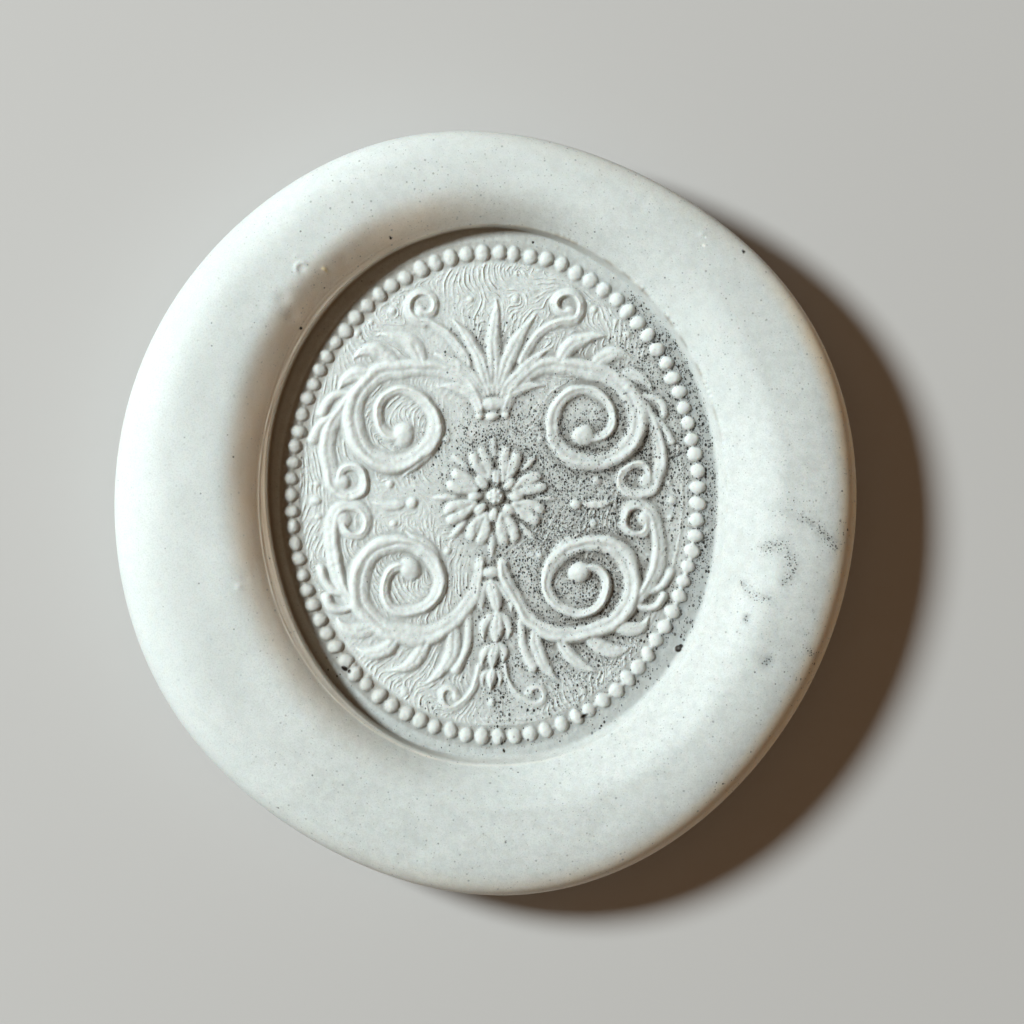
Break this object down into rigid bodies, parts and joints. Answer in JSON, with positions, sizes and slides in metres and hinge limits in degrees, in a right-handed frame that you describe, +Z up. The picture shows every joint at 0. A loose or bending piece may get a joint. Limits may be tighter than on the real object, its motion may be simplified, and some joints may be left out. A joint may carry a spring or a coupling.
{
  "type": "wax seal",
  "caption": "Ready-made stick-on wax seal: a poured wax disc with a rolled rim, pressed with an oval beaded die, on a double-sided foam pad with a peel-off paper liner.",
  "frame": {"origin": "middle of the footprint, on the underside of the liner", "axes": "+Z up out of the pressed face, +X towards the liner's pull tab, +Y along the pressed oval's long axis"},
  "size_m": [0.035, 0.0358, 0.0051],
  "materials": {
    "wax": "pale grey-white sealing wax, satin, slightly translucent, with fine dark specks",
    "adhesive": "clear tacky acrylic film",
    "foam": "white closed-cell foam",
    "liner_paper": "silicone-coated glassine paper"
  },
  "bodies": {
    "seal": {"wax_body": "wax", "upper_adhesive": "adhesive", "foam_core": "foam", "lower_adhesive": "adhesive"},
    "liner": {"release_liner": "liner_paper"}
  },
  "joints": [
    {"name": "liner_peel", "type": "hinge", "parent": "seal", "child": "liner", "pos_m": [-0.0115, 0, 0.00006], "axis": [0, 1, 0], "range_deg": [0, 180]}
  ]
}
